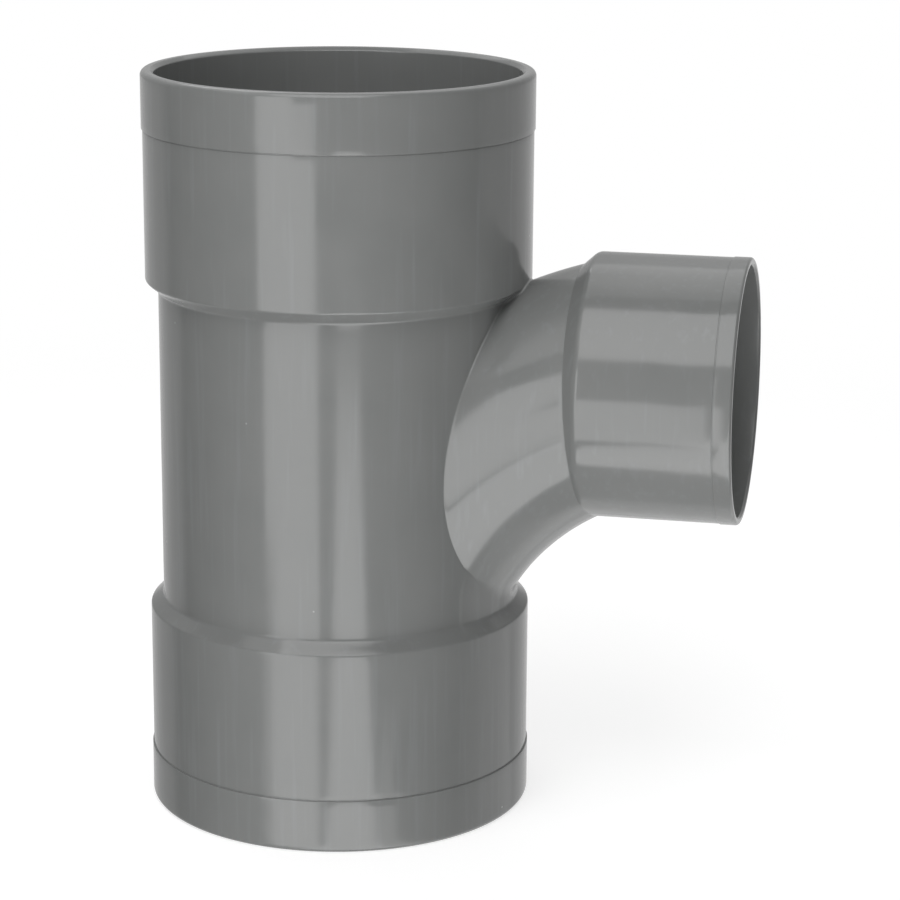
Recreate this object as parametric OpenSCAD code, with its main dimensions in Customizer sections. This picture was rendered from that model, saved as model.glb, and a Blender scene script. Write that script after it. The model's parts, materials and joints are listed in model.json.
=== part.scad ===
// Reducing tee for solvent-welded drain pipe, moulded in one piece.
// The run stands along Z with its lower mouth at the origin, and the swept branch leaves along +X.

/* [Pipes] */
// Outside diameter of the pipe that the two run sockets take
run_pipe_d = 110; // [90:1:132]
// Outside diameter of the pipe that the branch socket takes
branch_pipe_d = 75; // [62:1:82]
// Radial gap left for cement between a pipe and its socket
cement_gap = 0.2; // [0.1:0.05:0.4]

/* [Run] */
// Height of the run from mouth to mouth
run_h = 227.5; // [215:0.5:275]
// Height of the upper socket, from its mouth to its shoulder
upper_socket_h = 63.1; // [50:0.1:76]
// Height of the lower socket, from its mouth to its shoulder
lower_socket_h = 62; // [50:0.1:75]
// Depth that the pipe goes into a run socket
run_socket_depth = 60; // [40:0.5:61]
// Wall of the run sockets
run_socket_wall = 3.7; // [3:0.1:5]
// Width of the ledge inside that stops a run pipe, measured from the pipe's outside
run_stop_w = 3.2; // [2:0.1:5]
// Wall of the straight tube between the sockets
tube_wall = 3.2; // [2.4:0.1:4.5]
// Height of the slope between a run socket and the tube
run_shoulder_h = 3.3; // [2:0.1:6]

/* [Branch] */
// Height of the branch socket's axis above the lower mouth
branch_z = 135; // [125:0.5:150]
// Distance from the run's axis to the branch mouth
branch_reach = 125.3; // [112:0.1:150]
// Length of the branch socket, from its mouth to its shoulder
branch_socket_l = 46; // [40:0.5:55]
// Depth that the pipe goes into the branch socket
branch_socket_depth = 43.5; // [35:0.5:44]
// Wall of the branch socket
branch_socket_wall = 2.2; // [1.8:0.1:3.2]
// Slope of the branch socket's shoulder, measured from the socket's axis
branch_shoulder_angle = 38; // [25:1:60]

/* [Swept bend] */
// Width of the ledge inside that stops the branch pipe, measured from the pipe's outside
branch_stop_w = 3.65; // [2.5:0.05:5]
// Wall of the bend
bend_wall = 3; // [2.2:0.1:4]
// Angle between the bend's centre line and the branch socket's axis where they meet
bend_out_angle = 19.7; // [15:0.1:24]
// Distance that the bend's centre line lies below the socket's axis where they meet
bend_drop = 1.3; // [0:0.1:2.5]
// Height above the lower shoulder at which the inside of the bend runs out into the tube
bend_foot_rise = 1.8; // [1:0.1:6]
// Height by which the tube's skin under the bend stands proud
saddle_step = 0.4; // [0.2:0.05:1]
// Width of that proud skin
saddle_w = 63; // [50:1:68]
// Distance that the proud skin reaches above the lower shoulder
saddle_h = 22; // [18:0.5:30]
// Rounding of the proud skin's top corners
saddle_corner_r = 13; // [6:0.5:20]

/* [Mouths and edges] */
// Height of the band at the upper mouth
upper_band_h = 17.4; // [8:0.1:25]
// Height of the band at the lower mouth
lower_band_h = 16.4; // [8:0.1:25]
// Width of the band at the branch mouth
branch_band_h = 5.4; // [3:0.1:10]
// Step between a run socket and its band
run_band_step = 0.4; // [0.2:0.05:0.8]
// Step between the branch socket and its band
branch_band_step = 0.2; // [0.1:0.05:0.5]
// Rounding of the outer edge of the run mouths
run_lip_r = 1.6; // [0.5:0.1:2]
// Rounding of the outer edge of the branch mouth
branch_lip_r = 0.9; // [0.4:0.1:1.1]
// Lead-in chamfer of the run sockets
run_lead_in = 1.1; // [0.5:0.1:1.5]
// Lead-in chamfer of the branch socket
branch_lead_in = 0.6; // [0.3:0.1:1]
// Rounding of the shoulders' outer edges
shoulder_r = 1; // [0.5:0.1:2]
// Fillet between a run shoulder and the tube
foot_r = 1.5; // [0.5:0.1:3]

/* [Hidden] */
$fn = 144;

// Overlap that keeps a cut from ending on a face
over = 1;
// Straight steps in the arc of a rounded edge
arc_steps = 6;
moulding_grey = [0.49, 0.51, 0.5];

run_bore_r = run_pipe_d / 2 + cement_gap;
run_socket_r = run_bore_r + run_socket_wall;
waterway_r = run_pipe_d / 2 - run_stop_w;
tube_r = waterway_r + tube_wall;
branch_bore_r = branch_pipe_d / 2 + cement_gap;
branch_socket_r = branch_bore_r + branch_socket_wall;
passage_r = branch_pipe_d / 2 - branch_stop_w;
bend_r = passage_r + bend_wall;

branch_shoulder_x = branch_reach - branch_socket_l;
branch_stop_x = branch_reach - branch_socket_depth;
lower_foot_z = lower_socket_h + run_shoulder_h;

// The bend's centre line is an arc. It passes bend_drop below the socket's axis at the shoulder, at bend_out_angle,
// and its inside arc passes through the tube's skin just above the lower shoulder. Those three set its radius.
arc_reach = branch_shoulder_x - tube_r + bend_r * sin(bend_out_angle);
arc_rise = branch_z - bend_drop - (lower_foot_z + bend_foot_rise) - bend_r * cos(bend_out_angle);
inside_r = (arc_reach ^ 2 + arc_rise ^ 2)
    / (2 * (arc_rise * cos(bend_out_angle) - arc_reach * sin(bend_out_angle)));
sweep_r = inside_r + bend_r;
sweep_x = branch_shoulder_x + sweep_r * sin(bend_out_angle);
sweep_z = branch_z - bend_drop - sweep_r * cos(bend_out_angle);

// The arc's angles are counted from the level of its centre, where it stands upright. It starts once its inside is
// within the waterway, or upright where the waterway is too wide for that. It ends inside the branch socket, once the
// outside of the bend is past the shoulder.
start_angle = acos(min(1, (sweep_x - waterway_r + 2 * over) / inside_r));
skin_end_angle = acos((sweep_x - branch_shoulder_x - 2 * over) / (sweep_r + bend_r));
passage_end_angle = acos((sweep_x - branch_stop_x - over) / (sweep_r + passage_r));

// The arc of radius r that rounds the corner between two straight edges, as points from the first edge to the second
function unit(v) = v / norm(v);
function rounded(before, corner, after, r, steps = arc_steps) =
    let(
        half = acos(unit(before - corner) * unit(after - corner)) / 2,
        middle = corner + unit(unit(before - corner) + unit(after - corner)) * r / sin(half),
        from = corner + unit(before - corner) * r / tan(half) - middle,
        to = corner + unit(after - corner) * r / tan(half) - middle,
        turn = 180 - 2 * half
    )
    [for (i = [0:steps]) middle + (from * sin(turn * (1 - i / steps)) + to * sin(turn * i / steps)) / sin(turn)];

// The outline of a socket's outside, from its mouth at z = 0 to the edge of its shoulder, with the slope leading to foot
function socket_outline(rad, length, band_step, band_h, lip_r, foot) =
    let(band_rad = rad + band_step, band_end = [rad, band_h], edge = [rad, length])
    [
        each rounded([0, 0], [band_rad, 0], [band_rad, band_h], lip_r),
        [band_rad, band_h],
        band_end,
        each rounded(band_end, edge, foot, shoulder_r)
    ];

// The outline of a run socket, from its mouth at z = 0 over its shoulder and into the tube
function run_end_outline(length, band_h) =
    let(edge = [run_socket_r, length], foot = [tube_r, length + run_shoulder_h])
    [
        each socket_outline(run_socket_r, length, run_band_step, band_h, run_lip_r, foot),
        each rounded(edge, foot, foot + [0, 1], foot_r)
    ];

// An outline seen from the other end of the run
function upturned(outline) = [for (i = [len(outline) - 1:-1:0]) [outline[i][0], run_h - outline[i][1]]];

// The bore of one socket, with its mouth at z = 0 and its lead-in there
module socket_bore(rad, depth, lead_in) {
    translate([0, 0, -over]) cylinder(r = rad, h = depth + over);
    translate([0, 0, -over]) cylinder(r1 = rad + lead_in + over, r2 = rad, h = lead_in + over);
}

// Places a socket at each mouth
module at_lower_mouth() children();
module at_upper_mouth() translate([0, 0, run_h]) mirror([0, 0, 1]) children();
module at_branch_mouth() translate([branch_reach, 0, branch_z]) rotate([0, -90, 0]) children();

// A round bar of radius r along the bend's centre line
module swept_bar(r, from, to) {
    translate([sweep_x, 0, sweep_z])
        rotate([90, 0, 0])
            rotate([0, 0, 180 - to])
                rotate_extrude(angle = to - from)
                    translate([sweep_r, 0]) circle(r = r);
}

// The proud skin of the tube under the bend, from the lower shoulder up into the bend, with rounded top corners
module saddle() {
    from_z = lower_foot_z - run_shoulder_h / 2;
    to_z = lower_foot_z + saddle_h;
    right = [saddle_w / 2, to_z];
    left = [-saddle_w / 2, to_z];
    intersection() {
        translate([0, 0, from_z]) cylinder(r = tube_r + saddle_step, h = to_z - from_z);
        rotate([90, 0, 90])
            linear_extrude(tube_r + over)
                polygon([
                    [left[0], from_z - over],
                    [right[0], from_z - over],
                    each rounded([right[0], from_z], right, [0, to_z], saddle_corner_r),
                    each rounded([0, to_z], left, [left[0], from_z], saddle_corner_r)
                ]);
    }
}

module run_skin() {
    rotate_extrude()
        polygon([
            [0, 0],
            each run_end_outline(lower_socket_h, lower_band_h),
            each upturned(run_end_outline(upper_socket_h, upper_band_h)),
            [0, run_h]
        ]);
    saddle();
}

module branch_skin() {
    // The shoulder's cone runs on into the bend, so its foot lies inside the bend's wall
    foot_rad = bend_r - bend_drop - 2 * over;
    foot = [foot_rad, branch_socket_l + (branch_socket_r - foot_rad) / tan(branch_shoulder_angle)];
    swept_bar(bend_r, start_angle, skin_end_angle);
    at_branch_mouth()
        rotate_extrude()
            polygon([
                [0, 0],
                each socket_outline(
                    branch_socket_r, branch_socket_l, branch_band_step, branch_band_h, branch_lip_r, foot
                ),
                foot,
                [0, foot[1]]
            ]);
}

module waterways() {
    at_lower_mouth() socket_bore(run_bore_r, run_socket_depth, run_lead_in);
    at_upper_mouth() socket_bore(run_bore_r, run_socket_depth, run_lead_in);
    at_branch_mouth() socket_bore(branch_bore_r, branch_socket_depth, branch_lead_in);
    translate([0, 0, run_socket_depth - over])
        cylinder(r = waterway_r, h = run_h - 2 * (run_socket_depth - over));
    swept_bar(passage_r, start_angle, passage_end_angle);
}

module tee_body() {
    color(moulding_grey)
        difference() {
            union() {
                run_skin();
                branch_skin();
            }
            waterways();
        }
}

tee_body();
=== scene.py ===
import json
import logging
import math
from collections.abc import Callable
from dataclasses import dataclass
from enum import Enum

import bmesh
import bpy
import numpy as np
from mathutils import Euler, Matrix, Vector


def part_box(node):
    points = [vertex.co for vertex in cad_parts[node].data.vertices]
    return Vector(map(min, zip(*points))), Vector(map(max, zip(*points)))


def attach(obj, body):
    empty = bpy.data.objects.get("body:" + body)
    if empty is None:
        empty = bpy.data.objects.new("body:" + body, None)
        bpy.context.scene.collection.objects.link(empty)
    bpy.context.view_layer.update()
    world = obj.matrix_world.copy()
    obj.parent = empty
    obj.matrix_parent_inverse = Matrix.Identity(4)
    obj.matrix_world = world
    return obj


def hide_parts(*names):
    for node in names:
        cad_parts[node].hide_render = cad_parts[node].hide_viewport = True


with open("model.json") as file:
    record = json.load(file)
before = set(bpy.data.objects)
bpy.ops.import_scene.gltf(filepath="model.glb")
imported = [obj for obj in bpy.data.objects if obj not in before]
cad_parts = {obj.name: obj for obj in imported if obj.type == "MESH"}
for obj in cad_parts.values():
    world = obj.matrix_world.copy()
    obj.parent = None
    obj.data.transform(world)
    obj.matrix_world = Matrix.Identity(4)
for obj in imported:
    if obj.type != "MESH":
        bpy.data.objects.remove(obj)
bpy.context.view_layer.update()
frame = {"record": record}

# A reducing tee for cemented drain pipe, moulded in one piece of grey uPVC, standing on its lower mouth.
# Sizes and arrays are in millimetres in the frame's own axes, and MM turns them into Blender's metres.
MM = 0.001
# Lengths and angles below this count as none
TINY = 1e-6
# Arcs of up to this radius in millimetres get half of the steps
SMALL_ARC_R = 0.4
# Edges that turn by more than this are shaded sharp
SHARP_ANGLE = math.radians(50)
LOG = logging.getLogger("reducing_tee")


def smooth(value: np.ndarray, start: float, end: float) -> np.ndarray:
    """Rises from 0 at start to 1 at end as 3t² - 2t³, where t is the clamped share of the way.

    Args:
        value: Numbers to place between start and end.
        start: Where the rise begins.
        end: Where the rise ends.

    Returns:
        A number from 0 to 1 for each value.
    """
    share = np.clip((value - start) / (end - start), 0.0, 1.0)
    return share * share * (3.0 - 2.0 * share)


def bisect(
    gap: Callable[[np.ndarray], np.ndarray], low: np.ndarray, high: np.ndarray, steps: int = 48
) -> np.ndarray:
    """Finds where gap passes from negative to positive, for a whole array of brackets at once.

    Args:
        gap: Function of an array, negative at low and positive at high.
        low: Lower ends of the brackets.
        high: Upper ends of the brackets.
        steps: How often each bracket is halved.

    Returns:
        The crossing in each bracket.
    """
    low, high = np.array(low, float), np.array(high, float)
    for _ in range(steps):
        middle = (low + high) / 2
        below = gap(middle) < 0
        low = np.where(below, middle, low)
        high = np.where(below, high, middle)
    return (low + high) / 2


def unit(vectors: np.ndarray) -> np.ndarray:
    """Each vector divided by its own length."""
    return vectors / np.linalg.norm(vectors, axis=-1, keepdims=True)


def turned(reach: np.ndarray, angle: np.ndarray, z: np.ndarray) -> np.ndarray:
    """Points (reach·cos(angle), reach·sin(angle), z) about the run's axis, in a last axis of three."""
    return np.stack([reach * np.cos(angle), reach * np.sin(angle), z], axis=-1)


@dataclass(frozen=True)
class TeeSizes:
    """The tee's sizes in millimetres. The first five are the frame's, the rest are the moulding's own."""

    run_h: float
    run_bore_r: float
    branch_bore_r: float
    branch_reach: float
    branch_z: float
    upper_socket_h: float = 63.1
    lower_socket_h: float = 62.0
    run_socket_depth: float = 60.0
    run_socket_wall: float = 3.7
    run_shoulder_h: float = 3.3
    tube_r: float = 55.0
    waterway_r: float = 51.8
    branch_socket_l: float = 46.0
    branch_socket_depth: float = 43.5
    branch_socket_wall: float = 2.2
    branch_shoulder_angle: float = math.radians(42.5)
    bend_r: float = 36.85
    passage_r: float = 33.85
    bend_out_angle: float = math.radians(19.7)
    bend_drop: float = 1.3
    bend_foot_rise: float = 2.8
    upper_band_h: float = 17.4
    lower_band_h: float = 16.4
    branch_band_h: float = 5.4
    # The CAD mesh stands a little inside its own circles, and the band stays within its box
    run_band_step: float = 0.365
    branch_band_step: float = 0.2
    run_lip_r: float = 1.6
    branch_lip_r: float = 0.9
    run_lead_in: float = 1.1
    branch_lead_in: float = 0.6
    shoulder_r: float = 1.0
    branch_shoulder_r: float = 3.0
    foot_r: float = 1.5
    groove_depth: float = 0.08
    groove_width: float = 0.3
    run_groove_r: float = 0.1
    branch_groove_r: float = 0.06
    # Roundings of the inside edges: the rim, between lead-in and bore, the stop's corner and its ledge
    run_rim_edge_r: float = 0.2
    run_lead_in_edge_r: float = 0.6
    run_stop_corner_r: float = 0.3
    run_ledge_edge_r: float = 0.4
    branch_rim_edge_r: float = 0.15
    branch_lead_in_edge_r: float = 0.4
    branch_stop_corner_r: float = 0.2

    @classmethod
    def from_frame(cls) -> "TeeSizes":
        """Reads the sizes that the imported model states.

        Returns:
            The sizes, with the height and the reach from the CAD box and the bores from the mounts.
        """
        mounts = {mount["name"]: mount for mount in frame["record"]["mounts"]}
        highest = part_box("tee_body")[1]
        return cls(
            run_h=highest[2] / MM,
            run_bore_r=mounts["lower_socket"]["dims"]["r_mm"],
            branch_bore_r=mounts["branch_socket"]["dims"]["r_mm"],
            branch_reach=highest[0] / MM,
            branch_z=mounts["branch_socket"]["pos_m"][2] / MM,
        )

    @property
    def run_socket_r(self) -> float:
        """Outside radius of a run socket."""
        return self.run_bore_r + self.run_socket_wall

    @property
    def branch_socket_r(self) -> float:
        """Outside radius of the branch socket."""
        return self.branch_bore_r + self.branch_socket_wall

    @property
    def lower_foot_z(self) -> float:
        """Height where the lower shoulder runs into the tube."""
        return self.lower_socket_h + self.run_shoulder_h

    @property
    def branch_shoulder_x(self) -> float:
        """Distance from the run's axis to the edge of the branch socket's shoulder."""
        return self.branch_reach - self.branch_socket_l

    @property
    def branch_stop_x(self) -> float:
        """Distance from the run's axis to the ledge that stops the branch pipe."""
        return self.branch_reach - self.branch_socket_depth


@dataclass(frozen=True)
class Outline:
    """An outline of straight stretches and arcs in a half plane, as points (across, along).

    Across is the distance from the axis that the outline is turned about, and along runs with that axis.
    """

    points: np.ndarray

    @classmethod
    def from_corners(cls, corners: list[tuple[float, float, float]], arc_steps: int = 8) -> "Outline":
        """Rounds each corner with an arc that touches both of its straight stretches.

        The arc starts r / tan(half the corner's angle) before the corner. Its points are
        middle + (from·sin(turn·(1 - t)) + to·sin(turn·t)) / sin(turn), for t from 0 to 1.

        Args:
            corners: Across, along and rounding radius of each corner. A radius of 0 keeps the corner.
            arc_steps: Straight steps in each arc, and half as many in an arc of up to SMALL_ARC_R.

        Returns:
            The outline from the first corner to the last.
        """
        places = np.array([corner[:2] for corner in corners], float)
        stretches = []
        for before, corner, after, (_, _, radius) in zip(places, places[1:], places[2:], corners[1:]):
            if radius == 0:
                stretches.append(corner[None])
                continue
            back, ahead = unit(before - corner), unit(after - corner)
            half = math.acos(float(np.clip(back @ ahead, -1, 1))) / 2
            middle = corner + unit(back + ahead) * radius / math.sin(half)
            reach = radius / math.tan(half)
            start, end = corner + back * reach - middle, corner + ahead * reach - middle
            turn = math.pi - 2 * half
            steps = arc_steps if radius > SMALL_ARC_R else arc_steps // 2
            share = np.linspace(0, 1, steps + 1)[:, None]
            arc = (start * np.sin(turn * (1 - share)) + end * np.sin(turn * share)) / math.sin(turn)
            stretches.append(middle + arc)
        points = np.vstack([places[:1], *stretches, places[-1:]])
        step = np.linalg.norm(np.diff(points, axis=0), axis=1)
        return cls(points[np.append(True, step > TINY)])

    @property
    def marks(self) -> np.ndarray:
        """Distance along the outline of each of its points."""
        step = np.linalg.norm(np.diff(self.points, axis=0), axis=1)
        return np.append(0.0, np.cumsum(step))

    @property
    def point_normals(self) -> np.ndarray:
        """Unit normal at each point: the mean direction of its two stretches, turned away from the axis.

        Returns:
            The normals' across and along parts, one row for each point.
        """
        along = unit(np.diff(self.points, axis=0))
        mean = unit(np.vstack([along[:1], along[:-1] + along[1:], along[-1:]]))
        return np.stack([mean[:, 1], -mean[:, 0]], axis=-1)

    def at(self, mark: np.ndarray) -> np.ndarray:
        """Points at given distances along the outline, by straight steps between its points.

        Args:
            mark: Distances along the outline, of any shape.

        Returns:
            Across and along, in a last axis of two.
        """
        marks = self.marks
        return np.stack([np.interp(mark, marks, self.points[:, k]) for k in (0, 1)], axis=-1)

    def normal_at(self, mark: np.ndarray) -> np.ndarray:
        """Unit normals at given distances along the outline.

        Args:
            mark: Distances along the outline, of any shape.

        Returns:
            The normal's across and along parts, in a last axis of two.
        """
        marks, normals = self.marks, self.point_normals
        return unit(np.stack([np.interp(mark, marks, normals[:, k]) for k in (0, 1)], axis=-1))

    def rows(self, gap: float) -> np.ndarray:
        """The outline's own points, with even steps no longer than gap between them.

        Args:
            gap: Longest step.

        Returns:
            Distances along the outline, rising.
        """
        marks = self.marks
        length = np.diff(marks)
        count = np.ceil(length / gap).astype(int)
        piece = np.repeat(np.arange(len(length)), count)
        step = np.arange(count.sum()) - np.repeat(np.cumsum(count) - count, count)
        return np.append(marks[piece] + length[piece] * step / count[piece], marks[-1])

    def nearest(self, places: np.ndarray) -> tuple[np.ndarray, np.ndarray]:
        """The nearest point of the outline to each place, over all of its straight stretches at once.

        Args:
            places: Across and along of each place, shape (n, 2).

        Returns:
            Distance along the outline of the nearest point, and the distance to it, negative inside
            the outline.
        """
        start, stretch = self.points[:-1], np.diff(self.points, axis=0)
        length = np.linalg.norm(stretch, axis=1)
        reach = places[:, None] - start
        share = np.clip((reach * stretch).sum(-1) / length**2, 0, 1)
        away = reach - share[..., None] * stretch
        distance = np.linalg.norm(away, axis=-1)
        best = distance.argmin(axis=1)
        row = np.arange(len(places))
        mark = self.marks[best] + share[row, best] * length[best]
        side = np.sign((away[row, best] * self.normal_at(mark)).sum(-1))
        return mark, distance[row, best] * side


@dataclass(frozen=True)
class Bend:
    """The swept bend: tubes of any radius round one arc in the plane y = 0.

    The turn is counted from the level of the arc's centre, where the bend stands upright, and the round angle
    goes about the tube from its outermost line, so a point is
    centre + (sweep_r + radius·cos(round))·(-cos(turn), sin(turn)) in x and z, and radius·sin(round) in y.
    """

    centre_x: float
    centre_z: float
    sweep_r: float

    @classmethod
    def through(cls, sizes: TeeSizes) -> "Bend":
        """Works out the arc from where it ends and where its inside runs out into the tube.

        It passes bend_drop below the branch's axis at the shoulder, at bend_out_angle, and its inside passes
        through the tube's skin bend_foot_rise above the lower shoulder. The chord between those two points
        and the angle at its end give the inside radius, as
        chord² / (2·chord·sin(angle between chord and arc)).

        Args:
            sizes: The tee's sizes.

        Returns:
            The bend.
        """
        sine, cosine = math.sin(sizes.bend_out_angle), math.cos(sizes.bend_out_angle)
        centre_line_z = sizes.branch_z - sizes.bend_drop
        reach = sizes.branch_shoulder_x - sizes.tube_r + sizes.bend_r * sine
        rise = centre_line_z - sizes.lower_foot_z - sizes.bend_foot_rise - sizes.bend_r * cosine
        inside_r = (reach**2 + rise**2) / (2 * (rise * cosine - reach * sine))
        sweep_r = inside_r + sizes.bend_r
        return cls(sizes.branch_shoulder_x + sweep_r * sine, centre_line_z - sweep_r * cosine, sweep_r)

    def points(self, turn: np.ndarray, around: np.ndarray, radius: float | np.ndarray) -> np.ndarray:
        """Points at a turn and a round angle on the tube of that radius.

        Args:
            turn: Turns along the arc.
            around: Round angles.
            radius: Radius of the tube, or one for each place.

        Returns:
            The points, in a last axis of three.
        """
        reach = self.sweep_r + radius * np.cos(around)
        x = self.centre_x - reach * np.cos(turn)
        z = self.centre_z + reach * np.sin(turn)
        return np.stack(np.broadcast_arrays(x, radius * np.sin(around), z), axis=-1)

    def locate(self, points: np.ndarray) -> tuple[np.ndarray, np.ndarray, np.ndarray]:
        """Turn, round angle and distance from the bend's centre line of each point.

        Args:
            points: Places, with x, y and z in the last axis.

        Returns:
            The turns, the round angles and the distances, each in an array of its own.
        """
        x, y, z = np.moveaxis(points, -1, 0)
        reach = np.hypot(x - self.centre_x, z - self.centre_z) - self.sweep_r
        turn = np.arctan2(z - self.centre_z, self.centre_x - x)
        return turn, np.arctan2(y, reach), np.hypot(reach, y)

    def outward(self, points: np.ndarray) -> np.ndarray:
        """Unit vectors away from the bend's centre line at each point."""
        turn, _, _ = self.locate(points)
        return unit(points - self.points(turn, np.zeros_like(turn), 0.0))

    def turn_at_x(self, x: float, around: np.ndarray, radius: float) -> np.ndarray:
        """The turn at which the line at that round angle reaches x."""
        return np.arccos((self.centre_x - x) / (self.sweep_r + radius * np.cos(around)))


@dataclass(frozen=True)
class ProudSkin:
    """The tube's skin under the bend, which stands a little proud, as a field of radial offsets.

    The offset is step·S(half width at that height - |y|)·S(top - z), where S rises smoothly over the edge's
    width. It fades from fade_from to fade_to above the tube's radius, where the shoulder begins.
    """

    sizes: TeeSizes
    step: float = 0.3
    width: float = 63.0
    height: float = 22.0
    corner_r: float = 13.0
    edge: float = 1.5
    fade_from: float = 0.1
    fade_to: float = 1.6

    @property
    def top_z(self) -> float:
        """Height of the proud skin's top edge."""
        return self.sizes.lower_foot_z + self.height

    def half_width(self, z: np.ndarray) -> np.ndarray:
        """Half of the skin's width at a height, narrower by an arc where its top corners are rounded."""
        into = np.clip(z - (self.top_z - self.corner_r), 0, self.corner_r)
        return self.width / 2 - self.corner_r + np.sqrt(self.corner_r**2 - into**2)

    def edge_angle(self, z: np.ndarray) -> np.ndarray:
        """Angle about the run's axis at which the skin's edge stands."""
        return np.arcsin(self.half_width(z) / self.sizes.tube_r)

    def offset(self, angle: np.ndarray, across: np.ndarray, z: np.ndarray) -> np.ndarray:
        """How far the surface stands out.

        Args:
            angle: Angle about the run's axis, from the branch's side.
            across: Radius of the plain run there, past which the skin fades into the shoulder.
            z: Height.

        Returns:
            Radial offsets.
        """
        side = self.half_width(z) - np.abs(across * np.sin(angle))
        on_tube = 1 - smooth(across, self.sizes.tube_r + self.fade_from, self.sizes.tube_r + self.fade_to)
        near = smooth(side, -self.edge / 2, self.edge / 2) * smooth(self.top_z - z, 0.0, self.edge)
        return self.step * near * on_tube * (np.cos(angle) > 0)


class Face(Enum):
    """Which side of the moulding's wall an outline is."""

    OUTSIDE = "outside"
    INSIDE = "inside"


@dataclass(frozen=True)
class Corner:
    """A ball rolled along the corner between two surfaces: where it touches each, and the arc between.

    Every array has one row for each place of the ball, from the lowest one to the highest.
    """

    centre: np.ndarray
    first: np.ndarray
    second: np.ndarray

    def strip(self, steps: int = 6) -> np.ndarray:
        """The fillet: at each place the ball's own arc from one touching point to the other.

        A point is centre + (a·sin((1 - t)·w) + b·sin(t·w)) / sin(w), where a and b lead from the centre to
        the two touching points, w is the angle between them and t runs from 0 to 1.

        Args:
            steps: Straight steps across the strip.

        Returns:
            A grid of points, one row for each place of the ball.
        """
        start, end = self.first - self.centre, self.second - self.centre
        cosine = (unit(start) * unit(end)).sum(-1)
        angle = np.maximum(np.arccos(np.clip(cosine, -1, 1)), TINY)[:, None, None]
        share = np.linspace(0, 1, steps + 1)[None, :, None]
        mixed = start[:, None] * np.sin((1 - share) * angle) + end[:, None] * np.sin(share * angle)
        return self.centre[:, None] + mixed / np.sin(angle)


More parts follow.
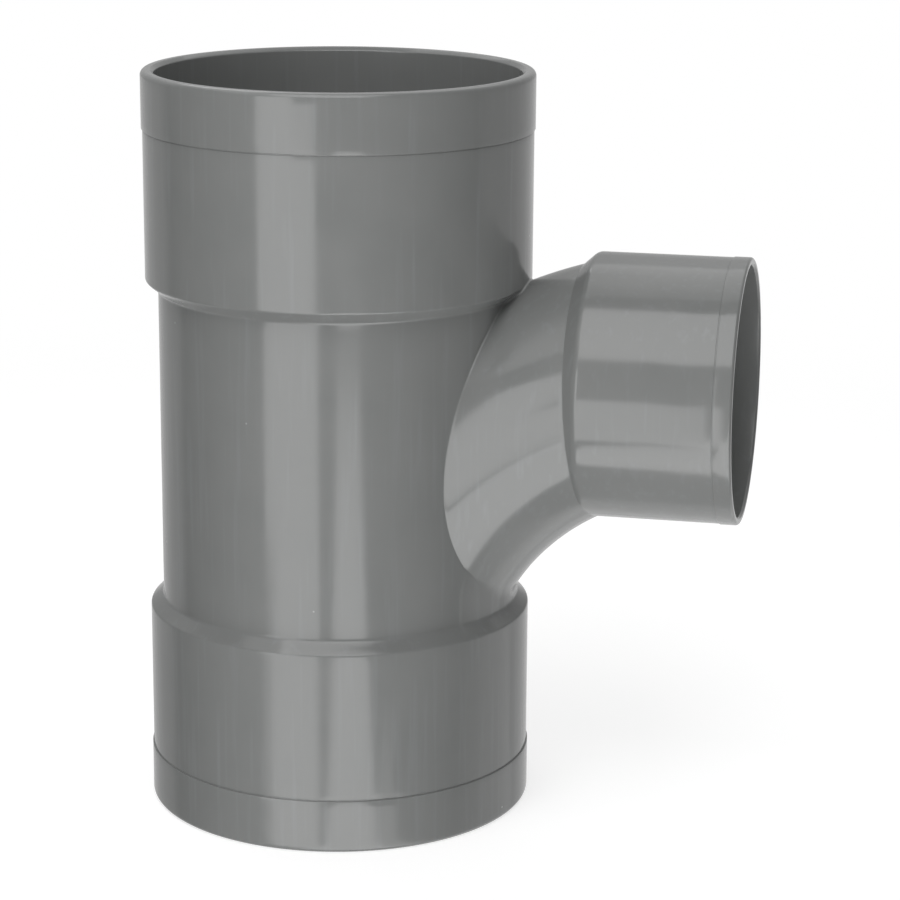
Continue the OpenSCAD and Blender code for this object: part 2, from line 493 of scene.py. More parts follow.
@dataclass(frozen=True)
class RunShell:
    """One face of the run, turned about Z, with a hole where the bend goes through it.

    A point is (r·cos(angle), r·sin(angle), z), where r and z follow the outline and r takes the proud skin's
    offset. Each row starts at the hole's edge and ends at the back of the run, so only the half with y >= 0
    is made.
    """

    sizes: TeeSizes
    bend: Bend
    outline: Outline
    bend_r: float
    proud: ProudSkin | None
    crisp_r: float
    soft_r: float
    columns: tuple[int, int, int] = (18, 8, 70)
    gap: float = 2.2
    # Heights above the lower shoulder's foot over which the rolled ball grows, and over which it shrinks
    growing: tuple[float, float] = (0.7, 1.1)
    shrinking: tuple[float, float] = (4.0, 16.0)
    # The search for the hole: places tried along the outline, and the widest angle of its edge
    tries: int = 6001
    widest: float = 1.5
    # Rows at the hole's ends: how far the outline's own stay off, how many close up there, how far off the
    # first stands, with the rest at the squares of their numbers times that, and the least step between two
    clear: float = 0.05
    closing_rows: int = 8
    closing: float = 0.06
    least_step: float = 0.03
    # Angle and half width of the middle columns where there is no proud skin
    plain_edge: float = 0.3
    plain_half: float = 0.05
    # Millimetres past the proud skin's edge, the least angle from the hole to the middle columns, and what is
    # added to that angle and to their width higher up
    edge_margin: float = 0.15
    hole_margin: float = 0.02
    hole_margin_gain: float = 0.12
    width_gain: float = 0.08
    # Heights above the foot over which those gains come in, and distances from a mouth over which the columns
    # turn from even to fitted
    relaxing: tuple[float, float] = (16.0, 40.0)
    fitting: tuple[float, float] = (20.0, 50.0)

    def ball_r(self, z: np.ndarray) -> np.ndarray:
        """Radius of the rolled ball at a height.

        It is soft_r just above the fillet at the lower shoulder's foot, and falls to crisp_r further up. It
        is crisp_r in that fillet too, which a larger ball could not enter.

        Args:
            z: Height.

        Returns:
            The radius at each height.
        """
        over_foot = z - self.sizes.lower_foot_z
        growth = smooth(over_foot, *self.growing) * smooth(-over_foot, -self.shrinking[1], -self.shrinking[0])
        return self.crisp_r + (self.soft_r - self.crisp_r) * growth

    def radius(self, angle: np.ndarray, place: np.ndarray) -> np.ndarray:
        """Radius of the surface at an angle, for outline points (across, along)."""
        across, z = place[..., 0], place[..., 1]
        return across if self.proud is None else across + self.proud.offset(angle, across, z)

    def ball_centre(self, mark: np.ndarray, angle: np.ndarray) -> np.ndarray:
        """Centre of the ball that rests on the run, one ball radius off along the outline's normal.

        Args:
            mark: Distances along the outline.
            angle: Angles about the run's axis.

        Returns:
            The centres, in a last axis of three.
        """
        place, normal = self.outline.at(mark), self.outline.normal_at(mark)
        ball = self.ball_r(place[..., 1])
        reach = self.radius(angle, place) + ball * normal[..., 0]
        return turned(reach, angle, place[..., 1] + ball * normal[..., 1])

    def bend_gap(self, mark: np.ndarray, angle: np.ndarray) -> np.ndarray:
        """How far that ball is from touching the bend: negative where it reaches into it."""
        _, _, distance = self.bend.locate(self.ball_centre(mark, angle))
        return distance - self.bend_r - self.ball_r(self.outline.at(mark)[..., 1])

    def hole_ends(self) -> tuple[float, float]:
        """The lowest and the highest place at which the ball touches the bend in the plane y = 0.

        Returns:
            Their distances along the outline.
        """
        fine = np.linspace(0, self.outline.marks[-1], self.tries)
        above_start = self.outline.at(fine)[:, 1] > self.bend.centre_z
        inside = np.flatnonzero(above_start & (self.bend_gap(fine, np.zeros_like(fine)) < 0))
        low_in, high_in = fine[inside[0]], fine[inside[-1]]
        step = fine[1]
        zero = np.zeros(1)
        low = bisect(lambda mark: -self.bend_gap(mark, zero), np.array([low_in - step]), np.array([low_in]))
        high = bisect(lambda mark: self.bend_gap(mark, zero), np.array([high_in]), np.array([high_in + step]))
        return float(low[0]), float(high[0])

    def rows(self, hole_rows: int | None) -> tuple[np.ndarray, np.ndarray]:
        """Distances along the outline of all rows, and which of them cross the hole.

        Outside, the rows are the outline's own, closed up towards the hole's two ends, where its edge turns
        over. Inside, where a count is given, they follow a cosine from end to end of the hole.

        Args:
            hole_rows: How many rows cross the hole, or None to let the outline set it.

        Returns:
            The rising distances, and a mask of those from the hole's lower end to its upper end.
        """
        low, high = self.hole_ends()
        own = self.outline.rows(self.gap)
        outside = own[(own < low - self.clear) | (own > high + self.clear)]
        if hole_rows is None:
            closing = self.closing * np.arange(1, self.closing_rows + 1) ** 2
            inner = own[(own > low + self.clear) & (own < high - self.clear)]
            wanted = np.unique(np.concatenate([inner, low + closing, high - closing]))
            apart = np.append(True, np.diff(wanted) > self.least_step)
            inner = np.concatenate([[low], wanted[apart], [high]])
        else:
            share = (1 - np.cos(np.linspace(0, math.pi, hole_rows))) / 2
            inner = low + (high - low) * share
        marks = np.sort(np.concatenate([outside, inner]))
        return marks, (marks >= low) & (marks <= high)

    def hole_angle(self, marks: np.ndarray, crossing: np.ndarray) -> np.ndarray:
        """Angle about the run's axis at which the ball touches the bend, and 0 at and beyond the hole's ends.

        Args:
            marks: Distances along the outline of all rows.
            crossing: Mask of the rows that cross the hole.

        Returns:
            The angle of the hole's edge in each row.
        """
        angle = np.zeros_like(marks)
        inner = np.flatnonzero(crossing)[1:-1]
        none, widest = np.zeros(len(inner)), np.full(len(inner), self.widest)
        angle[inner] = bisect(lambda at: self.bend_gap(marks[inner], at), none, widest)
        return angle

    def corner(self, marks: np.ndarray, angle: np.ndarray) -> Corner:
        """The ball's places along the hole's edge.

        Args:
            marks: Distances along the outline of the rows that cross the hole.
            angle: Angle of the hole's edge in each of them.

        Returns:
            The corner, which touches the run first and the bend second.
        """
        centre = self.ball_centre(marks, angle)
        place = self.outline.at(marks)
        on_run = turned(self.radius(angle, place), angle, place[:, 1])
        ball = self.ball_r(place[:, 1])[:, None]
        return Corner(centre, on_run, centre - ball * self.bend.outward(centre))

    def angles(self, z: np.ndarray, edge: np.ndarray) -> np.ndarray:
        """Angles of each row's columns, from the hole's edge to the back.

        Three groups of columns: from the hole's edge to the proud skin's edge, across that edge, and on to
        the back. Where the hole is wider than the skin the middle group stands beside the hole. Towards the
        mouths all columns become evenly spaced, so that the inside and the outside meet at the rims.

        Args:
            z: Height of each row.
            edge: Angle of the hole's edge in each row.

        Returns:
            A grid of angles, one row for each height.
        """
        first, middle, last = self.columns
        column = np.arange(first + middle + last + 1)[None]
        if self.proud is None:
            relax = np.ones_like(z)
            across_edge, half = np.full_like(z, self.plain_edge), np.full_like(z, self.plain_half)
        else:
            foot = self.sizes.lower_foot_z
            relax = smooth(z, foot + self.relaxing[0], foot + self.relaxing[1])
            across_edge = self.proud.edge_angle(z)
            half = np.full_like(z, (self.proud.edge / 2 + self.edge_margin) / self.sizes.tube_r)
        start = np.maximum(across_edge - half, edge + self.hole_margin + self.hole_margin_gain * relax)
        end = np.maximum(across_edge + half, start + 2 * half + self.width_gain * relax)
        shares = (column / first, (column - first) / middle, (column - first - middle) / last)
        one, two, three = (np.clip(share, 0, 1) for share in shares)
        fitted = edge[:, None] + (start - edge)[:, None] * one + (end - start)[:, None] * two
        fitted = fitted + (math.pi - end)[:, None] * three
        even = math.pi * column / column[0, -1]
        (near, far), top = self.fitting, self.sizes.run_h
        to_mouth = 1 - smooth(z, near, far) + smooth(z, top - far, top - near)
        return fitted + (even - fitted) * to_mouth[:, None]

    def build(self, hole_rows: int | None = None) -> tuple[np.ndarray, Corner]:
        """Makes the shell's half and the corner round its hole.

        Args:
            hole_rows: How many rows cross the hole, or None to let the outline set it.

        Returns:
            A grid of points, one row for each height, and the corner.
        """
        marks, crossing = self.rows(hole_rows)
        edge = self.hole_angle(marks, crossing)
        place = self.outline.at(marks)
        angle = self.angles(place[:, 1], edge)
        reach = self.radius(angle, np.broadcast_to(place[:, None], (*angle.shape, 2)))
        z = np.broadcast_to(place[:, 1:], angle.shape)
        return turned(reach, angle, z), self.corner(marks[crossing], edge[crossing])


@dataclass(frozen=True)
class BranchEnd:
    """The branch socket and the stretch of bend that leads to it, turned about the branch's axis.

    A socket point is (reach - along, across·sin(angle), branch_z + across·cos(angle)), with the angle from
    the top.
    """

    sizes: TeeSizes
    bend: Bend
    foot_r: float = 0.5
    even_from: float = 30.0
    even_to: float = 12.0
    # How far inwards the shoulder's slope goes on, and how far past its edge the bend's lines are searched
    fall: float = 8.0
    search: float = 8.0
    # How far the socket's inside goes on over the ledge that stops the pipe
    ledge_start: float = 0.3
    # Points along the bend, the passage and the ledge, and the longest steps along the socket's two outlines
    skin_points: int = 37
    passage_points: int = 25
    ledge_points: int = 4
    outside_gap: float = 2.5
    inside_gap: float = 4.0

    @property
    def rim_r(self) -> float:
        """Radius of the middle of the branch rim, where the inside and the outside meet."""
        return (self.sizes.branch_bore_r + self.sizes.branch_lead_in
                + self.sizes.branch_socket_r + self.sizes.branch_band_step - self.sizes.branch_lip_r) / 2

    def outside(self) -> Outline:
        """The socket's outside from the rim to well inside the bend: lip, band, wall and shoulder.

        Returns:
            The outline, which starts at the mouth.
        """
        sizes = self.sizes
        wall, band = sizes.branch_socket_r, sizes.branch_socket_r + sizes.branch_band_step
        groove = wall - sizes.groove_depth
        foot_along = sizes.branch_socket_l + self.fall / math.tan(sizes.branch_shoulder_angle)
        soft = sizes.branch_band_step / 2
        return Outline.from_corners([
            (self.rim_r, 0, 0),
            (band, 0, sizes.branch_lip_r),
            (band, sizes.branch_band_h, soft),
            (groove, sizes.branch_band_h, sizes.branch_groove_r),
            (groove, sizes.branch_band_h + sizes.groove_width, sizes.branch_groove_r),
            (wall, sizes.branch_band_h + sizes.groove_width + sizes.groove_depth, soft),
            (wall, sizes.branch_socket_l, sizes.branch_shoulder_r),
            (wall - self.fall, foot_along, 0),
        ])

    def inside(self) -> Outline:
        """The socket's inside from the rim to the ledge that stops the pipe: lead-in, bore and ledge.

        Returns:
            The outline, which starts at the mouth.
        """
        sizes = self.sizes
        bore, depth = sizes.branch_bore_r, sizes.branch_socket_depth
        return Outline.from_corners([
            (self.rim_r, 0, 0),
            (bore + sizes.branch_lead_in, 0, sizes.branch_rim_edge_r),
            (bore, sizes.branch_lead_in, sizes.branch_lead_in_edge_r),
            (bore, depth, sizes.branch_stop_corner_r),
            (bore - self.ledge_start, depth, 0),
        ])

    def place(self, outline: Outline, mark: np.ndarray, angle: np.ndarray) -> np.ndarray:
        """Socket points at distances along an outline and angles about the branch's axis."""
        across, along = np.moveaxis(outline.at(mark), -1, 0)
        return np.stack([self.sizes.branch_reach - along, across * np.sin(angle),
                         self.sizes.branch_z + across * np.cos(angle)], axis=-1)

    def half_plane(self, points: np.ndarray) -> np.ndarray:
        """Across and along of each point, as the socket's outlines count them."""
        across = np.hypot(points[..., 1], points[..., 2] - self.sizes.branch_z)
        return np.stack([across, self.sizes.branch_reach - points[..., 0]], axis=-1)

    def angle_of(self, points: np.ndarray) -> np.ndarray:
        """Angle of each point about the branch's axis, from the top."""
        return np.arctan2(points[..., 1], points[..., 2] - self.sizes.branch_z)

    def even(self, mark: np.ndarray, angle: np.ndarray) -> np.ndarray:
        """Angles that are even round the mouth and turn into those of the bend's lines deeper in."""
        evenly = np.linspace(math.pi, 0, angle.shape[-1])
        return evenly + (angle - evenly) * smooth(mark, self.even_to, self.even_from)

    def build_outside(self, start: Corner) -> tuple[list[np.ndarray], Corner]:
        """Carries the bend's lines from the run to the socket, fillets them and makes the socket's outside.

        Args:
            start: The corner on the run, where the lines begin.

        Returns:
            The grids of the bend and of the socket, and the corner between them.
        """
        turn, around, _ = self.bend.locate(start.second)
        outline, radius = self.outside(), self.sizes.bend_r

        def ball(at: np.ndarray) -> np.ndarray:
            """Centre of the ball that rests on each of the bend's lines at a turn."""
            return self.bend.points(at, around, radius + self.foot_r)

        def gap(at: np.ndarray) -> np.ndarray:
            """How far that ball reaches into the socket, negative where it is clear of it."""
            _, distance = outline.nearest(self.half_plane(ball(at)))
            return self.foot_r - distance

        deep = self.bend.turn_at_x(self.sizes.branch_shoulder_x + self.search, around, radius)
        end = bisect(gap, turn, deep)
        centre = ball(end)
        mark, _ = outline.nearest(self.half_plane(centre))
        angle = self.angle_of(centre)
        corner = Corner(centre, self.bend.points(end, around, radius), self.place(outline, mark, angle))
        share = np.linspace(0, 1, self.skin_points)[None]
        skin = self.bend.points(turn[:, None] + (end - turn)[:, None] * share, around[:, None], radius)
        rows = np.minimum(outline.rows(self.outside_gap)[:, None], mark[None])
        socket = self.place(outline, rows, self.even(rows, angle[None]))
        return [skin, socket], corner

    def build_inside(self, start: Corner) -> list[np.ndarray]:
        """Carries the passage's lines from the run to the ledge, and makes the ledge and the bore.

        Args:
            start: The corner on the inside of the run, where the lines begin.

        Returns:
            The grids of the passage, the ledge and the bore.
        """
        turn, around, _ = self.bend.locate(start.second)
        outline, radius = self.inside(), self.sizes.passage_r
        end = self.bend.turn_at_x(self.sizes.branch_stop_x, around, radius)
        share = np.linspace(0, 1, self.passage_points)[None]
        passage = self.bend.points(turn[:, None] + (end - turn)[:, None] * share, around[:, None], radius)
        angle = self.angle_of(passage[:, -1])
        marks = outline.rows(self.inside_gap)
        rows = np.broadcast_to(marks[:, None], (len(marks), len(angle)))
        bore = self.place(outline, rows, self.even(rows, angle[None]))
        ledge = np.linspace(passage[:, -1], bore[-1], self.ledge_points)
        return [passage, ledge, bore]


def run_outlines(sizes: TeeSizes) -> dict[Face, Outline]:
    """The two outlines that the run is turned from, each from the lower rim to the upper one.

    Args:
        sizes: The tee's sizes.

    Returns:
        The outside's outline and the inside's.
    """
    wall, band = sizes.run_socket_r, sizes.run_socket_r + sizes.run_band_step
    bore, top = sizes.run_bore_r, sizes.run_h
    rim = (bore + sizes.run_lead_in + band - sizes.run_lip_r) / 2
    soft, groove = sizes.run_band_step / 2, wall - sizes.groove_depth
    outside = Outline.from_corners([
        (rim, 0, 0),
        (band, 0, sizes.run_lip_r),
        (band, sizes.lower_band_h, soft),
        (groove, sizes.lower_band_h, sizes.run_groove_r),
        (groove, sizes.lower_band_h + sizes.groove_width, sizes.run_groove_r),
        (wall, sizes.lower_band_h + sizes.groove_width + sizes.groove_depth, soft),
        (wall, sizes.lower_socket_h, sizes.shoulder_r),
        (sizes.tube_r, sizes.lower_foot_z, sizes.foot_r),
        (sizes.tube_r, top - sizes.upper_socket_h - sizes.run_shoulder_h, sizes.foot_r),
        (wall, top - sizes.upper_socket_h, sizes.shoulder_r),
        (wall, top - sizes.upper_band_h - sizes.groove_width - sizes.groove_depth, soft),
        (groove, top - sizes.upper_band_h - sizes.groove_width, sizes.run_groove_r),
        (groove, top - sizes.upper_band_h, sizes.run_groove_r),
        (band, top - sizes.upper_band_h, soft),
        (band, top, sizes.run_lip_r),
        (rim, top, 0),
    ])
    inside = Outline.from_corners([
        (rim, 0, 0),
        (bore + sizes.run_lead_in, 0, sizes.run_rim_edge_r),
        (bore, sizes.run_lead_in, sizes.run_lead_in_edge_r),
        (bore, sizes.run_socket_depth, sizes.run_stop_corner_r),
        (sizes.waterway_r, sizes.run_socket_depth, sizes.run_ledge_edge_r),
        (sizes.waterway_r, top - sizes.run_socket_depth, sizes.run_ledge_edge_r),
        (bore, top - sizes.run_socket_depth, sizes.run_stop_corner_r),
        (bore, top - sizes.run_lead_in, sizes.run_lead_in_edge_r),
        (bore + sizes.run_lead_in, top, sizes.run_rim_edge_r),
        (rim, top, 0),
    ], arc_steps=4)
    return {Face.OUTSIDE: outside, Face.INSIDE: inside}


def sheet_faces(rows: int, columns: int, first: int) -> np.ndarray:
    """Corner numbers of the quads of a grid.

    Args:
        rows: Rows of points in the grid.
        columns: Points in each row.
        first: Number of the grid's first point.

    Returns:
        Four numbers for each quad.
    """
    number = first + np.arange(rows * columns).reshape(rows, columns)
    corners = [number[:-1, :-1], number[:-1, 1:], number[1:, 1:], number[1:, :-1]]
    return np.stack(corners, axis=-1).reshape(-1, 4)


def mesh_from_sheets(name: str, sheets: list[np.ndarray], weld: float = 0.001) -> bpy.types.Mesh:
    """Joins grids of points and their mirror images in y into one closed mesh.

    Args:
        name: The mesh's name.
        sheets: Grids of points in millimetres, all on the side y >= 0.
        weld: Distance in millimetres under which points are merged.

    Returns:
        The mesh in metres, welded, with its faces turned outwards and shaded smooth.
    """
    mirror = np.array([1.0, -1.0, 1.0])
    grids = [grid for sheet in sheets for grid in (sheet, (sheet * mirror)[::-1])]
    points = np.concatenate([grid.reshape(-1, 3) for grid in grids]) * MM
    first = np.cumsum([0] + [grid.shape[0] * grid.shape[1] for grid in grids[:-1]])
    faces = np.concatenate([sheet_faces(*grid.shape[:2], start) for grid, start in zip(grids, first)])
    mesh = bpy.data.meshes.new(name)
    mesh.vertices.add(len(points))
    mesh.vertices.foreach_set("co", points.astype(np.float32).ravel())
    mesh.loops.add(faces.size)
    mesh.loops.foreach_set("vertex_index", faces.astype(np.int32).ravel())
    mesh.polygons.add(len(faces))
    mesh.polygons.foreach_set("loop_start", np.arange(0, faces.size, 4, dtype=np.int32))
    mesh.update(calc_edges=True)
    welded = bmesh.new()
    welded.from_mesh(mesh)
    bmesh.ops.remove_doubles(welded, verts=welded.verts, dist=weld * MM)
    bmesh.ops.recalc_face_normals(welded, faces=welded.faces)
    open_edges = sum(1 for edge in welded.edges if not edge.is_manifold)
    welded.to_mesh(mesh)
    welded.free()
    mesh.shade_smooth()
    mesh.set_sharp_from_angle(angle=SHARP_ANGLE)
    mesh.calc_loop_triangles()
    LOG.info("%s: %d triangles, %d open edges", name, len(mesh.loop_triangles), open_edges)
    return mesh


def add_object(name: str, data: bpy.types.ID) -> bpy.types.Object:
    """Makes an object of a mesh, a light or a camera, and puts it in the scene.

    Args:
        name: The object's name.
        data: The mesh, light or camera.

    Returns:
        The object.
    """
    added = bpy.data.objects.new(name, data)
    bpy.context.scene.collection.objects.link(added)
    return added


def linear(hex_colour: str) -> tuple[float, float, float, float]:
    """An sRGB colour such as #7d8280 as linear red, green, blue and an alpha of 1.

    Args:
        hex_colour: Six hex digits after a hash.

    Returns:
        The linear colour, each part ((c + 0.055) / 1.055) to the power 2.4, or c / 12.92 where it is dark.
    """
    parts = [int(hex_colour[k:k + 2], 16) / 255 for k in (1, 3, 5)]
    red, green, blue = (c / 12.92 if c <= 0.04045 else ((c + 0.055) / 1.055) ** 2.4 for c in parts)
    return red, green, blue, 1.0


def add_node(
    tree: bpy.types.NodeTree, kind: str, links: dict | None = None, **settings: object
) -> bpy.types.Node:
    """Adds a node, sets it up and links what feeds it.

    Args:
        tree: The node tree.
        kind: The node's type, such as ShaderNodeMix.
        links: The socket that feeds each input, or the input's own value, by input name or number.
        settings: Properties of the node itself.

    Returns:
        The node.
    """
    node = tree.nodes.new(kind)
    for key, value in settings.items():
        setattr(node, key, value)
    for key, value in (links or {}).items():
        if isinstance(value, bpy.types.NodeSocket):
            tree.links.new(value, node.inputs[key])
        else:
            node.inputs[key].default_value = value
    return node


def seen_level(tree: bpy.types.NodeTree) -> bpy.types.NodeSocket:
    """Adds the nodes that tell camera and transmission rays from all others.

    Args:
        tree: The node tree.

    Returns:
        A socket that is 1 for camera and transmission rays and 0 for all others.
    """
    rays = add_node(tree, "ShaderNodeLightPath")
    seen = add_node(tree, "ShaderNodeMath", {
        0: rays.outputs["Is Camera Ray"], 1: rays.outputs["Is Transmission Ray"],
    }, operation="MAXIMUM")
    return seen.outputs[0]


def new_material(name: str) -> tuple[bpy.types.Material, bpy.types.NodeTree]:
    """Makes an empty node material.

    Args:
        name: The material's name.

    Returns:
        The material and its tree.
    """
    material = bpy.data.materials.new(name)
    material.use_nodes = True
    material.node_tree.nodes.clear()
    return material, material.node_tree


@dataclass(frozen=True)
class MouldedUpvc:
    """Grey uPVC straight from a polished injection mould.

    To the eye it is an even grey under a clear gloss, which shows soft boxes as sharp-edged strips. The skin
    has shallow ripples where the melt cooled, faint clouds, streaks drawn along the run, a few pale specks of
    dust, and patches that handling has made a little duller.
    """

    name: str = "moulded_grey_upvc"
    grey: str = "#707271"
    cloud_grey: str = "#787978"
    streak_grey: str = "#7a7c7c"
    speck_grey: str = "#a6a8a6"
    clean_roughness: float = 0.11
    dull_roughness: float = 0.17
    refraction: float = 1.53
    ripple_mm: float = 9.0
    ripple_depth_mm: float = 0.02
    grain_mm: float = 0.9
    grain_depth_mm: float = 0.0015
    cloud_mm: float = 18.0
    # Levels of the cloud noise between which the skin turns dull
    dull_from: float = 0.3
    dull_to: float = 0.7
    streak_mm: float = 2.2
    streak_long_mm: float = 45.0
    # Levels of the streak noise between which a streak comes out
    streak_from: float = 0.55
    streak_to: float = 0.85
    speck_r_mm: float = 0.45
    speck_apart_mm: float = 14.0
    # Share of a speck's radius in which it is fully pale
    speck_core: float = 0.5

    def material(self) -> bpy.types.Material:
        """Builds the material, with every pattern in Object coordinates, which are metres.

        Returns:
            The material.
        """
        material, tree = new_material(self.name)
        place = add_node(tree, "ShaderNodeTexCoord").outputs["Object"]
        clouds = add_node(tree, "ShaderNodeTexNoise", {
            "Vector": place, "Scale": 1 / (self.cloud_mm * MM), "Detail": 4.0,
        })
        drawn = add_node(tree, "ShaderNodeMapping", {
            "Vector": place, "Scale": (1.0, 1.0, self.streak_mm / self.streak_long_mm),
        })
        streaks = add_node(tree, "ShaderNodeTexNoise", {
            "Vector": drawn.outputs[0], "Scale": 1 / (self.streak_mm * MM), "Detail": 2.0,
        })
        streaked = add_node(tree, "ShaderNodeMapRange", {
            "Value": streaks.outputs[0], "From Min": self.streak_from, "From Max": self.streak_to,
        })
        cells = add_node(tree, "ShaderNodeTexVoronoi", {
            "Vector": place, "Scale": 1 / (self.speck_apart_mm * MM),
        })
        specked = add_node(tree, "ShaderNodeMapRange", {
            "Value": cells.outputs["Distance"], "From Min": self.speck_r_mm / self.speck_apart_mm,
            "From Max": self.speck_core * self.speck_r_mm / self.speck_apart_mm,
        })
        tint = linear(self.grey)
        for amount, grey in (
            (clouds, self.cloud_grey), (streaked, self.streak_grey), (specked, self.speck_grey)
        ):
            mixed = add_node(tree, "ShaderNodeMix", {
                0: amount.outputs[0], "A": tint, "B": linear(grey),
            }, data_type="RGBA")
            tint = mixed.outputs["Result"]
        roughness = add_node(tree, "ShaderNodeMapRange", {
            "Value": clouds.outputs[0], "From Min": self.dull_from, "From Max": self.dull_to,
            "To Min": self.clean_roughness, "To Max": self.dull_roughness,
        })
        ripples = add_node(tree, "ShaderNodeTexNoise", {
            "Vector": place, "Scale": 1 / (self.ripple_mm * MM), "Detail": 1.0,
        })
        grain = add_node(tree, "ShaderNodeTexNoise", {
            "Vector": place, "Scale": 1 / (self.grain_mm * MM), "Detail": 2.0,
        })
        swell = add_node(tree, "ShaderNodeBump", {
            "Height": ripples.outputs[0], "Distance": self.ripple_depth_mm * MM, "Strength": 1.0,
        })
        skin = add_node(tree, "ShaderNodeBump", {
            "Height": grain.outputs[0], "Distance": self.grain_depth_mm * MM, "Strength": 1.0,
            "Normal": swell.outputs[0],
        })
        shader = add_node(tree, "ShaderNodeBsdfPrincipled", {
            "Base Color": tint, "Roughness": roughness.outputs[0], "IOR": self.refraction,
            "Normal": skin.outputs[0],
        })
        add_node(tree, "ShaderNodeOutputMaterial", {"Surface": shader.outputs[0]})
        return material


@dataclass(frozen=True)
class PaleBoard:
    """Matt white board. It looks an even white, with the object's soft shadow showing round its foot."""

    name: str = "matt_white_board"
    white: str = "#bcbcbc"
    lift: float = 0.65
    even_from: float = 0.25
    even_to: float = 0.75

    def material(self) -> bpy.types.Material:
        """A matt surface that the camera sees lifted to white, and as plain white further from the object.

        Returns:
            The material.
        """
        material, tree = new_material(self.name)
        place = add_node(tree, "ShaderNodeTexCoord").outputs["Object"]
        reach = add_node(tree, "ShaderNodeVectorMath", {0: place}, operation="LENGTH")
        far = add_node(tree, "ShaderNodeMapRange", {
            "Value": reach.outputs["Value"], "From Min": self.even_from, "From Max": self.even_to,
        }, interpolation_type="SMOOTHSTEP")
        level = add_node(tree, "ShaderNodeMapRange", {
            "Value": far.outputs[0], "To Min": self.lift, "To Max": 1.0,
        })
        strength = add_node(tree, "ShaderNodeMath", {
            0: seen_level(tree), 1: level.outputs[0],
        }, operation="MULTIPLY")
        glow = add_node(tree, "ShaderNodeEmission", {"Strength": strength.outputs[0]})
        matt = add_node(tree, "ShaderNodeBsdfDiffuse", {"Color": linear(self.white)})
        near = add_node(tree, "ShaderNodeMixShader", {0: far.outputs[0], 1: matt.outputs[0]})
        both = add_node(tree, "ShaderNodeAddShader", {0: near.outputs[0], 1: glow.outputs[0]})
        add_node(tree, "ShaderNodeOutputMaterial", {"Surface": both.outputs[0]})
        return material


@dataclass
class TeeMoulding:
    """The whole fitting as one closed mesh: run, bend and branch socket, outside and inside."""

    sizes: TeeSizes
    finish: MouldedUpvc = MouldedUpvc()
    name: str = "tee_moulding"
    # Radii of the balls rolled along the crease, in its swell at the bend's foot and where the passage opens
    crease_r: float = 0.5
    swell_r: float = 8.0
    opening_r: float = 1.0
    # Longest step along the lining, and steps across the two small fillets
    lining_gap: float = 8.0
    small_steps: int = 4

    def sheets(self) -> list[np.ndarray]:
        """Builds every surface of the half with y >= 0.

        Returns:
            Grids of points that share their edges.
        """
        sizes = self.sizes
        bend = Bend.through(sizes)
        outlines = run_outlines(sizes)
        outer = RunShell(
            sizes, bend, outlines[Face.OUTSIDE], sizes.bend_r, ProudSkin(sizes),
            crisp_r=self.crease_r, soft_r=self.swell_r,
        )
        inner = RunShell(
            sizes, bend, outlines[Face.INSIDE], sizes.passage_r, None,
            crisp_r=self.opening_r, soft_r=self.opening_r, gap=self.lining_gap,
        )
        end = BranchEnd(sizes, bend)
        skin, crease = outer.build()
        branch_skin, foot = end.build_outside(crease)
        lining, opening = inner.build(hole_rows=len(crease.centre))
        passage = end.build_inside(opening)
        return [
            skin, crease.strip(), *branch_skin, foot.strip(self.small_steps),
            lining, opening.strip(self.small_steps), *passage,
        ]

    def build(self) -> bpy.types.Object:
        """Makes the object, dresses it and lets it stand for the CAD node.

        Returns:
            The object.
        """
        piece = add_object(self.name, mesh_from_sheets(self.name, self.sheets()))
        piece.data.materials.append(self.finish.material())
        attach(piece, "root")
        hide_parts("tee_body")
        return piece


class Facing(Enum):
    """Which way a lamp is turned."""

    TEE = "tee"
    UP = "up"


@dataclass(frozen=True)
class SoftBox:
    """A rectangular lamp.

    Its bearing is in degrees from the camera's side, positive to the camera's right, and its elevation is in
    degrees above the tee's middle. Sizes are in metres, and across and up shift it in its own plane, so that
    boxes of one bearing and elevation meet edge to edge. Its radiance is in the unit in which a white surface
    renders as 1.
    """

    name: str
    bearing: float
    elevation: float
    distance: float
    width: float
    height: float
    radiance: float
    facing: Facing = Facing.TEE
    across: float = 0.0
    up: float = 0.0

    def build(self, camera_turn: float, middle: Vector) -> bpy.types.Object:
        """Adds the lamp, unseen by the camera itself.

        Args:
            camera_turn: Turn of the camera's side about Z from -Y, in radians.
            middle: The tee's middle.

        Returns:
            The lamp.
        """
        light = bpy.data.lights.new(self.name, "AREA")
        light.shape = "RECTANGLE"
        light.size, light.size_y = self.width, self.height
        # A rectangle of power P and area A has a radiance of P / (pi * A)
        light.energy = self.radiance * math.pi * self.width * self.height
        turn, rise = camera_turn + math.radians(self.bearing), math.radians(self.elevation)
        away = Vector((math.sin(turn) * math.cos(rise), -math.cos(turn) * math.cos(rise), math.sin(rise)))
        lamp = add_object(self.name, light)
        if self.facing is Facing.UP:
            facing = Euler((math.pi, 0.0, turn))
        else:
            facing = (-away).to_track_quat("-Z", "Y").to_euler()
        lamp.rotation_euler = facing
        shift = facing.to_matrix() @ Vector((self.across, self.up, 0.0))
        lamp.location = middle + away * self.distance + shift
        lamp.visible_camera = False
        return lamp


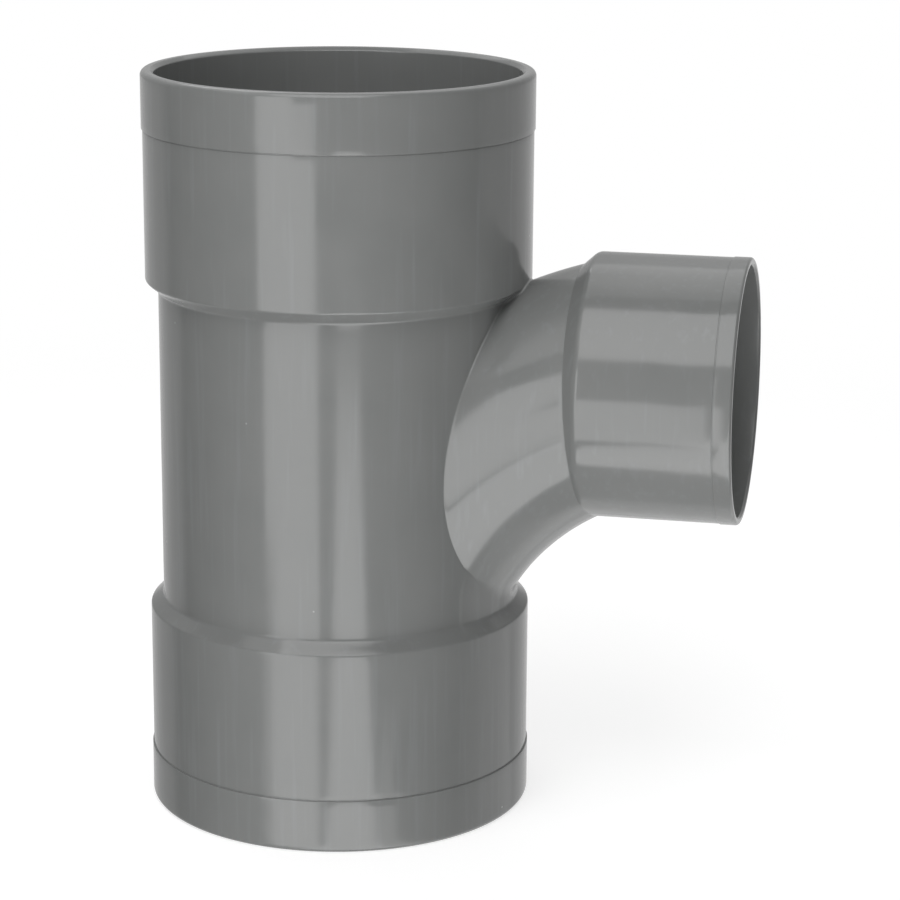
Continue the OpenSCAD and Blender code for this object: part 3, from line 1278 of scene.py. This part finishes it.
@dataclass
class Studio:
    """The camera, the lamps, the floor and the white surroundings."""

    board: PaleBoard = PaleBoard()
    # The camera was fitted to the photograph's outline: its turn about Z, pitch and roll, and where it looks
    turn: float = 0.2077
    pitch: float = 0.2536
    roll: float = 0.007
    focal_px: float = 2852.45
    image_px: float = 900.0
    sensor_mm: float = 36.0
    distance: float = 0.8835
    nearest_seen: float = 0.01
    look_across: float = 0.03415
    look_up: float = 0.10964
    floor_half: float = 8.0
    # The tee's middle, which the lamps are placed about
    middle: tuple[float, float, float] = (0.02, 0.0, 0.11)
    # Light levels of the room by direction, as shares of the way and levels: the front and the white ground
    # behind, both from in front of the tee (0) to behind it (1), and the height part and the share that the
    # ground keeps, both from straight down (0) to straight up (1)
    front_levels: tuple[tuple[float, float], ...] = ((0.0, 0.32), (0.4, 0.04), (1.0, 0.04))
    ground_levels: tuple[tuple[float, float], ...] = ((0.0, 0.0), (0.6, 0.0), (0.66, 0.34), (1.0, 0.7))
    height_levels: tuple[tuple[float, float], ...] = ((0.0, 0.4), (0.3, 0.02), (0.7, 0.02), (1.0, 0.24))
    ground_shares: tuple[tuple[float, float], ...] = (
        (0.0, 1.0), (0.42, 1.0), (0.5, 0.62), (0.66, 0.66), (0.78, 1.0), (1.0, 1.0)
    )

    def camera(self) -> bpy.types.Object:
        """Adds the camera at the photograph's place, turned by the fitted angles.

        Returns:
            The camera.
        """
        cos_turn, sin_turn = math.cos(self.turn), math.sin(self.turn)
        cos_pitch, sin_pitch = math.cos(self.pitch), math.sin(self.pitch)
        right = Vector((cos_turn, sin_turn, 0.0))
        ahead = Vector((-sin_turn * cos_pitch, cos_turn * cos_pitch, -sin_pitch))
        up = right.cross(ahead)
        rolled_right = right * math.cos(self.roll) + up * math.sin(self.roll)
        rolled_up = up * math.cos(self.roll) - right * math.sin(self.roll)
        target = right * self.look_across + Vector((0.0, 0.0, self.look_up))
        data = bpy.data.cameras.new("camera")
        data.sensor_width = self.sensor_mm
        data.lens = self.focal_px * self.sensor_mm / self.image_px
        data.clip_start = self.nearest_seen
        camera = add_object("camera", data)
        axes = Matrix((rolled_right, rolled_up, -ahead)).transposed().to_4x4()
        camera.matrix_world = Matrix.Translation(target - ahead * self.distance) @ axes
        bpy.context.scene.camera = camera
        return camera

    def floor(self) -> bpy.types.Object:
        """Adds the floor as one large quad under the tee.

        It takes the tee's shadow, and neither hides the lamps from the tee nor shows in its gloss.

        Returns:
            The floor.
        """
        half = self.floor_half
        corners = [(-half, -half, 0), (half, -half, 0), (half, half, 0), (-half, half, 0)]
        mesh = bpy.data.meshes.new("floor")
        mesh.from_pydata(corners, [], [(0, 1, 2, 3)])
        mesh.materials.append(self.board.material())
        floor = add_object("floor", mesh)
        floor.visible_glossy = False
        floor.visible_diffuse = False
        floor.visible_shadow = False
        return floor

    def surroundings(self) -> None:
        """Sets the world: white to camera and transmission rays, and a dark room to all others.

        The room's level in a direction is front + ground·its share at that height + height.
        """
        world = bpy.data.worlds.new("surroundings")
        world.use_nodes = True
        tree = world.node_tree
        tree.nodes.clear()
        place = add_node(tree, "ShaderNodeTexCoord").outputs["Generated"]
        towards = add_node(tree, "ShaderNodeSeparateXYZ", {0: place})
        parts = []
        for axis, levels in (
            ("Y", self.front_levels), ("Y", self.ground_levels),
            ("Z", self.height_levels), ("Z", self.ground_shares),
        ):
            way = add_node(tree, "ShaderNodeMapRange", {"Value": towards.outputs[axis], "From Min": -1.0})
            ramp = add_node(tree, "ShaderNodeValToRGB", {0: way.outputs[0]})
            for position, _ in levels[2:]:
                ramp.color_ramp.elements.new(position)
            for stop, (position, level) in zip(ramp.color_ramp.elements, levels):
                stop.position = position
                stop.color = (level, level, level, 1.0)
            parts.append(ramp.outputs[0])
        front, ground, height, share = parts
        standing = add_node(tree, "ShaderNodeMath", {0: front, 1: height}, operation="ADD")
        room = add_node(tree, "ShaderNodeMath", {
            0: ground, 1: share, 2: standing.outputs[0],
        }, operation="MULTIPLY_ADD")
        level = add_node(tree, "ShaderNodeMix", {
            0: seen_level(tree), "A": room.outputs[0], "B": 1.0,
        }, data_type="FLOAT")
        glow = add_node(tree, "ShaderNodeBackground", {
            "Color": (1.0, 1.0, 1.0, 1.0), "Strength": level.outputs["Result"],
        })
        add_node(tree, "ShaderNodeOutputWorld", {"Surface": glow.outputs[0]})
        bpy.context.scene.world = world

    def lamps(self) -> list[bpy.types.Object]:
        """Adds the soft boxes.

        Returns:
            The lamps.
        """
        # Name, bearing, elevation, distance, width, height and radiance
        boxes = [
            SoftBox("left_box", -30.0, -5.0, 1.1, 0.531, 0.756, 2.3, across=0.0915, up=-0.282),
            SoftBox("upper_left_box", -30.0, -5.0, 1.1, 0.421, 0.524, 2.3, across=-0.0945, up=0.358),
            SoftBox("left_wing", -30.0, -5.0, 1.1, 0.131, 0.33, 2.3, across=-0.2395, up=-0.069),
            SoftBox("left_wing_low", -30.0, -5.0, 1.1, 0.096, 0.426, 1.0, across=-0.222, up=-0.447),
            SoftBox("top_box", -10.0, 57.0, 1.2, 0.95, 1.02, 2.5),
            SoftBox("side_box", -105.0, 61.0, 0.45, 0.8, 0.16, 0.9),
            SoftBox("back_box", 175.0, 64.0, 1.2, 1.2, 0.97, 0.65),
            SoftBox("low_box", 7.0, -21.4, 1.67, 0.65, 2.43, 2.6, Facing.UP, across=0.015, up=-0.015),
            SoftBox("low_fringe", 7.0, -21.4, 1.67, 0.26, 1.0, 1.3, Facing.UP, across=0.47, up=-0.7),
            SoftBox("right_low_box", 104.0, -43.0, 1.2, 1.0, 1.22, 0.28),
        ]
        return [box.build(self.turn, Vector(self.middle)) for box in boxes]

    def build(self) -> None:
        """Sets up the whole studio and the plain view transform."""
        self.camera()
        self.floor()
        self.surroundings()
        self.lamps()
        bpy.context.scene.view_settings.view_transform = "Standard"


def main() -> None:
    """Builds the studio and the tee, and logs each piece."""
    logging.basicConfig(level=logging.INFO, format="%(name)s: %(message)s")
    Studio().build()
    piece = TeeMoulding(TeeSizes.from_frame()).build()
    LOG.info("built %s with %d faces", piece.name, len(piece.data.polygons))


if __name__ == "__main__":
    main()
